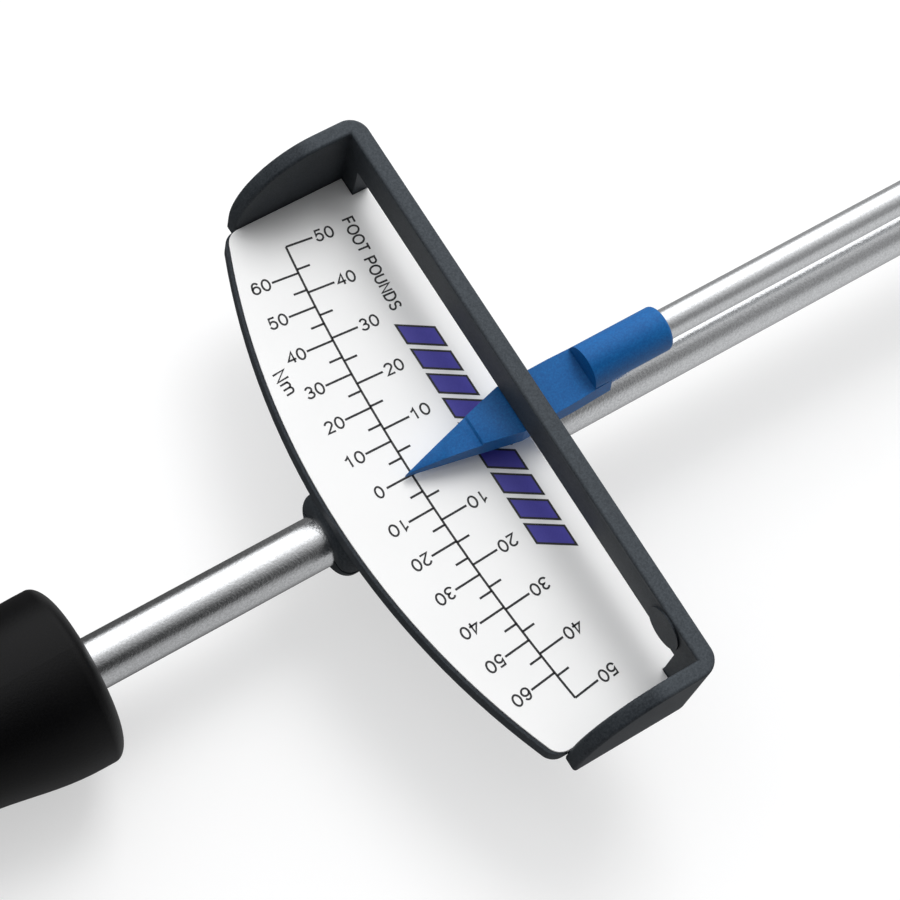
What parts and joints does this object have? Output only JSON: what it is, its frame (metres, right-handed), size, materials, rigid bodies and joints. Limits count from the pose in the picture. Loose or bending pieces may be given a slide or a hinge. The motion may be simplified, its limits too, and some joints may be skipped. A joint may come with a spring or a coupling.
{
  "type": "beam torque wrench",
  "caption": "Beam torque wrench with square drive head, bending round beam, straight pointer rod, printed scale in a guard bracket and pivoted grip.",
  "frame": {"origin": "on the square drive's axis, at the face that a socket seats on", "axes": "+X along the beam from the handle towards the head, +Z out of the scale's printed face, -Z along the square drive, +Y across the scale"},
  "size_m": [0.4296, 0.0954, 0.0432],
  "materials": {
    "head_steel": "satin plated",
    "ball_steel": "polished",
    "spring_steel": "drawn wire",
    "pin_steel": "plain",
    "beam_steel": "satin plated",
    "rod_steel": "satin plated",
    "pointer_plastic": "fine grain",
    "bracket_plastic": "fine grain",
    "screw_steel": "zinc plated",
    "plate_plastic": "satin, printed",
    "adhesive_film": "double-sided film",
    "grip_rubber": "fine grain",
    "core_plastic": "moulded",
    "washer_plastic": "moulded",
    "cap_plastic": "moulded"
  },
  "bodies": {
    "head": {"drive_head": "head_steel", "detent_spring": "spring_steel", "beam_roll_pin": "pin_steel", "rod_roll_pin": "pin_steel", "pointer_rod": "rod_steel", "pointer": "pointer_plastic"},
    "detent": {"detent_ball": "ball_steel"},
    "scale": {"main_beam": "beam_steel", "scale_bracket": "bracket_plastic", "scale_saddle": "bracket_plastic", "saddle_screws": "screw_steel", "scale_locating_pin": "pin_steel", "scale_plate": "plate_plastic", "plate_adhesive": "adhesive_film"},
    "handle": {"handle_grip": "grip_rubber", "handle_core_upper": "core_plastic", "handle_core_lower": "core_plastic", "core_screws": "screw_steel", "handle_pivot_pin": "pin_steel", "pivot_washers": "washer_plastic", "handle_end_cap": "cap_plastic"}
  },
  "joints": [
    {"name": "beam_flex", "type": "hinge", "parent": "head", "child": "scale", "pos_m": [-0.039, 0, 0.01017], "axis": [0, 0, 1], "range_deg": [-10.3, 10.3], "stiffness_Nm_per_rad": 340, "deforming": ["main_beam"]},
    {"name": "handle_pivot", "type": "hinge", "parent": "scale", "child": "handle", "pos_m": [-0.3636, 0, 0.01017], "axis": [0, 0, 1], "range_deg": [-3.5, 3.5]},
    {"name": "detent_press", "type": "slide", "parent": "head", "child": "detent", "axis": [-1, 0, 0], "range_m": [0, 0.0009], "stiffness_N_per_m": 1500, "springref_m": -0.0015, "deforming": ["detent_spring"]}
  ]
}
